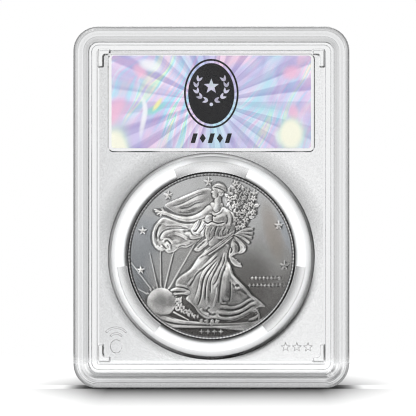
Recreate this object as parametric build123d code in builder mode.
"""Graded coin slab: a sealed clear case that holds one silver coin and its grading label.

The slab stands on its bottom edge, its front faces -Y and +Z is up. The origin is the middle of
the edge it stands on. Two clear shells meet on the plane y = 0, where a tongue on the rear shell
is welded into a groove in the front shell. Between them a soft ring grips the coin by its edge,
and a label with a radio tag between its two cards lies in a pocket above the ring.
All sizes are in millimetres.
"""

from build123d import *
import os

# Case
case_width = 66.0
case_height = 86.5
corner_radius = 5.9
rim_depth = 4.75  # from the parting plane to the front rim
face_depth = 3.95  # from the parting plane to the recessed front and rear faces
edge_round = 1.0
rim_flat_inset = 2.4  # where the flat top of the front rim starts to slope down
recess_inset = 3.9  # where that slope meets the recessed face
ridge_outer_inset = 4.15  # stacking ridge on the back, which nests in the front recess
ridge_inner_inset = 5.6
parting_gap = 0.05

# Weld between the shells
groove_outer_inset = 3.0
groove_width = 0.8
groove_depth = 1.1
tongue_depth = 0.7
weld_clearance = 0.03

# Inside of the case
field_width = 53.6  # the frosted inner field round the coin and the label
field_height = 74.2
field_radius = 1.5
field_centre_z = 43.65
field_depth = 0.3
locator_half_width = 27.2  # outer corner of each L-shaped locator, from the field's centre
locator_half_height = 37.5
locator_leg_width = 1.4
locator_tall_leg = 4.4
locator_short_leg = 3.0
locator_round = 0.5
locator_reach = 1.9  # how far a locator stands past the parting plane
locator_clearance = 0.1
locator_draft = 8.0  # degrees that the sides of the locators and their sockets lean

# Marks moulded on the inside of the front shell, low in the field: waves over an oval, and stars
mark_height = 0.16
mark_slope = 0.15  # width of the slope round each mark
waves_x = -22.8
waves_z = 11.2
wave_inner_radii = (1.5, 2.9)
wave_width = 0.55
wave_angle = 100.0
oval_width = 2.9
oval_height = 3.3
oval_centre_z = 9.9
stars_x = 20.5
stars_z = 9.7
star_count = 3
star_pitch = 2.7
star_radius = 1.3
star_waist = 0.55  # radius of a star's inner corners

# Coin and the ring that grips it
coin_centre_z = 31.5
coin_radius = 20.3
coin_half_thickness = 1.49
coin_field_half_thickness = 1.2
coin_rim_width = 0.8
coin_edge_bevel = 0.15
reed_count = 200
reed_radius = 0.14
seat_mouth_radius = 24.8  # the seat narrows like a cone from its mouth to its floor
seat_floor_radius = 24.0
seat_floor_depth = 2.4
ring_clearance = 0.08
ring_bore_radius = 22.7
grip_radius = 20.33
lip_radius = 20.1
lip_depth = 1.52
grip_half_height = 2.1
window_angle = 47.0  # each of the three gaps that leave the coin's edge in view
window_count = 3

# Label and its radio tag
label_width = 47.8
label_height = 22.2
label_radius = 0.7
label_centre_z = 68.5
pocket_width = 49.2
pocket_height = 23.2
pocket_radius = 1.2
pocket_centre_z = 68.3
pocket_depth = 0.7
pocket_flare = 0.45  # how much wider the pocket is on each side at its mouth
foil_front = 0.62  # front face of each layer, in front of the parting plane
foil_thickness = 0.08
card_thickness = 0.34
film_thickness = 0.1
antenna_thickness = 0.04
chip_thickness = 0.14
layer_gap = 0.02
film_width = 44.0
film_height = 18.0
antenna_width = 40.0
antenna_height = 14.0
antenna_pitch = 1.0
antenna_turns = 4
antenna_track = 0.5
chip_size = 1.4
seal_radius = 7.5
seal_thickness = 0.05
seal_offset_x = -13.0
seal_notch_count = 24
seal_notch_radius = 0.35

# Moulding gate marks in the middle of the top and bottom edges
gate_width = 2.4
gate_height = 0.25
gate_front = 2.6
gate_length = 1.2


def front_facing(centre_z):
    """Plane y = 0 with its normal towards the front, centred at that height. Offsets go forward."""
    return Plane(origin=(0, 0, centre_z), x_dir=(1, 0, 0), z_dir=(0, -1, 0))


case_plane = front_facing(case_height / 2)
field_plane = front_facing(field_centre_z)
coin_plane = front_facing(coin_centre_z)
label_plane = front_facing(label_centre_z)
pocket_plane = front_facing(pocket_centre_z)
coin_axis = Axis((0, 0, coin_centre_z), (0, 1, 0))
# Half-profiles of round parts are drawn here: x is the radius and local y is the depth to the front.
profile_plane = Plane(origin=(0, 0, coin_centre_z), x_dir=(1, 0, 0), z_dir=(0, 0, -1))


def case_outline(inset, mode=Mode.ADD):
    """The case's rounded outline moved inwards by inset."""
    RectangleRounded(
        case_width - 2 * inset,
        case_height - 2 * inset,
        corner_radius - inset,
        mode=mode,
    )


def locator_plan(clearance):
    """Four L shapes, one in each corner of the field, grown by clearance on every side."""
    wide = locator_leg_width + 2 * clearance
    tall = locator_tall_leg + 2 * clearance
    short = locator_short_leg + 2 * clearance
    with BuildSketch(mode=Mode.PRIVATE) as plan:
        for side in (-1, 1):
            for end in (-1, 1):
                corner_x = side * (locator_half_width + clearance)
                corner_y = end * (locator_half_height + clearance)
                with Locations((corner_x - side * wide / 2, corner_y - end * tall / 2)):
                    Rectangle(wide, tall)
                with Locations((corner_x - side * short / 2, corner_y - end * wide / 2)):
                    Rectangle(short, wide)
        fillet(plan.vertices(), locator_round)
    add(plan.sketch)


def pocket_outline(flare):
    """The label pocket's outline, grown by flare on every side."""
    RectangleRounded(
        pocket_width + 2 * flare,
        pocket_height + 2 * flare,
        pocket_radius + flare,
    )


def mark_plan():
    """Two waves over an oval at the left, and a row of five-pointed stars at the right."""
    with Locations((waves_x, waves_z)):
        for inner in wave_inner_radii:
            with BuildSketch(mode=Mode.PRIVATE) as wave:
                Circle(inner + wave_width)
                Circle(inner, mode=Mode.SUBTRACT)
                reach = 2 * (inner + wave_width)
                half = wave_angle / 2
                Polygon(
                    (0, 0),
                    Vector(0, reach).rotate(Axis.Z, -half),
                    (0, reach),
                    Vector(0, reach).rotate(Axis.Z, half),
                    align=None,
                    mode=Mode.INTERSECT,
                )
            add(wave.sketch)
    with Locations((waves_x, oval_centre_z)):
        Ellipse(oval_width / 2, oval_height / 2)
    for place in range(star_count):
        with Locations((stars_x + (place - (star_count - 1) / 2) * star_pitch, stars_z)):
            corners = [
                Vector(0, star_waist if corner % 2 else star_radius).rotate(Axis.Z, 36 * corner)
                for corner in range(10)
            ]
            Polygon(*corners, align=None)


# The marks with their sloped sides, which become part of the front shell
with BuildPart() as marks:
    with BuildSketch(front_facing(0).offset(field_depth)):
        mark_plan()
    extrude(amount=-mark_height)
    chamfer(marks.faces().filter_by(Axis.Y).group_by(Axis.Y)[-1].edges(), mark_slope)

# front_shell: clear half with the raised front rim, the weld groove and the locator sockets
with BuildPart() as front_shell:
    with BuildSketch(case_plane.offset(parting_gap / 2)):
        case_outline(0)
    extrude(amount=rim_depth - parting_gap / 2)
    fillet(front_shell.faces().sort_by(Axis.Y)[0].outer_wire().edges(), edge_round)
    with BuildSketch(case_plane.offset(rim_depth)):
        case_outline(rim_flat_inset)
    with BuildSketch(case_plane.offset(face_depth)):
        case_outline(recess_inset)
    loft(mode=Mode.SUBTRACT)
    rim_inner_edges = front_shell.faces().sort_by(Axis.Y)[0].inner_wires()[0].edges()
    fillet(rim_inner_edges, 0.3)
    with BuildSketch(case_plane):
        case_outline(groove_outer_inset)
        case_outline(groove_outer_inset + groove_width, mode=Mode.SUBTRACT)
    extrude(amount=groove_depth, mode=Mode.SUBTRACT)
    with BuildSketch(field_plane):
        RectangleRounded(field_width, field_height, field_radius)
    extrude(amount=field_depth, mode=Mode.SUBTRACT)
    with BuildSketch(pocket_plane):
        pocket_outline(pocket_flare)
    with BuildSketch(pocket_plane.offset(pocket_depth)):
        pocket_outline(0)
    loft(mode=Mode.SUBTRACT)
    with BuildSketch(coin_plane):
        Circle(seat_mouth_radius)
    with BuildSketch(coin_plane.offset(seat_floor_depth)):
        Circle(seat_floor_radius)
    loft(mode=Mode.SUBTRACT)
    with BuildSketch(field_plane):
        locator_plan(locator_clearance)
    extrude(amount=locator_reach + locator_clearance, taper=locator_draft, mode=Mode.SUBTRACT)
    add(marks.part)
    with Locations(
        (0, -gate_front, case_height - gate_height / 2),
        (0, -gate_front, gate_height / 2),
    ):
        Box(gate_width, gate_length, gate_height, mode=Mode.SUBTRACT)
front_shell.part.label = "front_shell"

# rear_shell: clear half with the stacking ridge, the weld tongue and the locators
with BuildPart() as rear_shell:
    with BuildSketch(case_plane.offset(-parting_gap / 2)):
        case_outline(0)
    extrude(amount=parting_gap / 2 - face_depth)
    fillet(rear_shell.faces().sort_by(Axis.Y)[-1].outer_wire().edges(), edge_round)
    with BuildSketch(case_plane.offset(-face_depth)):
        case_outline(ridge_outer_inset)
        case_outline(ridge_inner_inset, mode=Mode.SUBTRACT)
    extrude(amount=face_depth - rim_depth)
    fillet(rear_shell.faces().sort_by(Axis.Y)[-1].edges(), 0.3)
    with BuildSketch(case_plane.offset(-parting_gap)):
        case_outline(groove_outer_inset + weld_clearance)
        case_outline(groove_outer_inset + groove_width - weld_clearance, mode=Mode.SUBTRACT)
    extrude(amount=tongue_depth + parting_gap)
    with BuildSketch(field_plane.offset(-field_depth)):
        RectangleRounded(field_width, field_height, field_radius)
    extrude(amount=field_depth, mode=Mode.SUBTRACT)
    with BuildSketch(pocket_plane):
        pocket_outline(pocket_flare)
    with BuildSketch(pocket_plane.offset(-pocket_depth)):
        pocket_outline(0)
    loft(mode=Mode.SUBTRACT)
    with BuildSketch(coin_plane):
        Circle(seat_mouth_radius)
    with BuildSketch(coin_plane.offset(-seat_floor_depth)):
        Circle(seat_floor_radius)
    loft(mode=Mode.SUBTRACT)
    with BuildSketch(field_plane.offset(-2 * field_depth)):
        locator_plan(0)
    extrude(amount=locator_reach + 2 * field_depth, taper=locator_draft)
rear_shell.part.label = "rear_shell"

# weld_bead: plastic melted by the ultrasonic weld, left between the tongue and the groove's floor
with BuildPart() as weld_bead:
    with BuildSketch(case_plane.offset(tongue_depth + weld_clearance)):
        case_outline(groove_outer_inset + weld_clearance)
        case_outline(groove_outer_inset + groove_width - weld_clearance, mode=Mode.SUBTRACT)
    extrude(amount=groove_depth - tongue_depth - 2 * weld_clearance)
weld_bead.part.label = "weld_bead"

# coin_gasket: soft ring with three grip pads, a groove for the coin's edge and three windows
with BuildPart() as coin_gasket:
    with BuildSketch(profile_plane):
        with BuildLine():
            ring_top = seat_floor_depth - ring_clearance
            Polyline(
                (ring_bore_radius, -ring_top),
                (seat_floor_radius - ring_clearance, -ring_top),
                (seat_mouth_radius - ring_clearance, 0),
                (seat_floor_radius - ring_clearance, ring_top),
                (ring_bore_radius, ring_top),
                close=True,
            )
        make_face()
    revolve(axis=coin_axis)
    with BuildSketch(coin_plane.offset(-grip_half_height)):
        Circle(ring_bore_radius + ring_clearance)
        Circle(lip_radius, mode=Mode.SUBTRACT)
        reach = 1.2 * ring_bore_radius
        with PolarLocations(0, window_count, start_angle=90):
            Polygon(
                (0, 0),
                (Vector(reach, 0).rotate(Axis.Z, -window_angle / 2)),
                (Vector(reach, 0).rotate(Axis.Z, window_angle / 2)),
                align=None,
                mode=Mode.SUBTRACT,
            )
    extrude(amount=2 * grip_half_height)
    with BuildSketch(coin_plane.offset(-lip_depth)):
        Circle(grip_radius)
    extrude(amount=2 * lip_depth, mode=Mode.SUBTRACT)
coin_gasket.part.label = "coin_gasket"

# coin: struck disc with raised rims and a reeded edge
with BuildPart() as coin:
    with BuildSketch(profile_plane):
        with BuildLine():
            field_radius_coin = coin_radius - coin_rim_width
            Polyline(
                (0, -coin_field_half_thickness),
                (field_radius_coin - coin_edge_bevel, -coin_field_half_thickness),
                (field_radius_coin, -coin_half_thickness),
                (coin_radius - coin_edge_bevel, -coin_half_thickness),
                (coin_radius, coin_edge_bevel - coin_half_thickness),
                (coin_radius, coin_half_thickness - coin_edge_bevel),
                (coin_radius - coin_edge_bevel, coin_half_thickness),
                (field_radius_coin, coin_half_thickness),
                (field_radius_coin - coin_edge_bevel, coin_field_half_thickness),
                (0, coin_field_half_thickness),
                close=True,
            )
        make_face()
    revolve(axis=coin_axis)
    with BuildSketch(coin_plane.offset(-coin_half_thickness)):
        with PolarLocations(coin_radius, reed_count):
            Circle(reed_radius)
    extrude(amount=2 * coin_half_thickness, mode=Mode.SUBTRACT)
coin.part.label = "coin"


def label_outline():
    """The label's rounded outline, the same for every printed layer."""
    RectangleRounded(label_width, label_height, label_radius)


# Layers of the label, from front to back. Each depth is the layer's front face.
card_front = foil_front - foil_thickness - layer_gap
film_front = card_front - card_thickness - antenna_thickness - 2 * layer_gap
rear_card_front = film_front - film_thickness - chip_thickness - 2 * layer_gap
seal_front = rear_card_front - card_thickness - layer_gap

# label_foil: printed holographic face
with BuildPart() as label_foil:
    with BuildSketch(label_plane.offset(foil_front - foil_thickness)):
        label_outline()
    extrude(amount=foil_thickness)
label_foil.part.label = "label_foil"

# label_front_card: stiff card that carries the foil
with BuildPart() as label_front_card:
    with BuildSketch(label_plane.offset(card_front - card_thickness)):
        label_outline()
    extrude(amount=card_thickness)
label_front_card.part.label = "label_front_card"

# tag_film: clear film that carries the radio tag
with BuildPart() as tag_film:
    with BuildSketch(label_plane.offset(film_front - film_thickness)):
        RectangleRounded(film_width, film_height, label_radius)
    extrude(amount=film_thickness)
tag_film.part.label = "tag_film"

# tag_antenna: rectangular spiral of aluminium track on the front of the film
spiral = [(-antenna_width / 2, -antenna_height / 2)]
for turn in range(antenna_turns):
    right = antenna_width / 2 - turn * antenna_pitch
    top = antenna_height / 2 - turn * antenna_pitch
    spiral += [(right, -top), (right, top), (-right, top), (-right, antenna_pitch - top)]
with BuildPart() as tag_antenna:
    with BuildSketch(label_plane.offset(film_front + layer_gap)):
        with BuildLine():
            Polyline(*spiral)
        trace(line_width=antenna_track)
    extrude(amount=antenna_thickness)
tag_antenna.part.label = "tag_antenna"

# tag_bridge: strap behind the film that joins the spiral's inner and outer ends
bridge_x = -antenna_width / 2
with BuildPart() as tag_bridge:
    with BuildSketch(label_plane.offset(film_front - film_thickness - layer_gap - antenna_thickness)):
        with Locations((bridge_x + antenna_turns * antenna_pitch / 2, -antenna_height / 2)):
            Rectangle((antenna_turns + 1) * antenna_pitch, 2 * antenna_track)
    extrude(amount=antenna_thickness)
tag_bridge.part.label = "tag_bridge"

# tag_chip: silicon die behind the film, at the spiral's inner end
with BuildPart() as tag_chip:
    with BuildSketch(label_plane.offset(film_front - film_thickness - layer_gap - chip_thickness)):
        with Locations((bridge_x + (antenna_turns + 2.5) * antenna_pitch, -antenna_height / 4)):
            RectangleRounded(chip_size, chip_size, chip_size / 10)
    extrude(amount=chip_thickness)
tag_chip.part.label = "tag_chip"

# label_rear_card: card printed for the back of the slab
with BuildPart() as label_rear_card:
    with BuildSketch(label_plane.offset(rear_card_front - card_thickness)):
        label_outline()
    extrude(amount=card_thickness)
label_rear_card.part.label = "label_rear_card"

# hologram_seal: round foil sticker with a notched edge, on the back of the rear card
with BuildPart() as hologram_seal:
    with BuildSketch(label_plane.offset(seal_front - seal_thickness)):
        with Locations((seal_offset_x, 0)):
            Circle(seal_radius)
            with PolarLocations(seal_radius, seal_notch_count):
                Circle(seal_notch_radius, mode=Mode.SUBTRACT)
    extrude(amount=seal_thickness)
hologram_seal.part.label = "hologram_seal"

os.makedirs("parts", exist_ok=True)
for piece in (
    front_shell,
    rear_shell,
    weld_bead,
    coin_gasket,
    coin,
    label_foil,
    label_front_card,
    tag_film,
    tag_antenna,
    tag_bridge,
    tag_chip,
    label_rear_card,
    hologram_seal,
):
    export_step(piece.part, f"parts/{piece.part.label}.step")
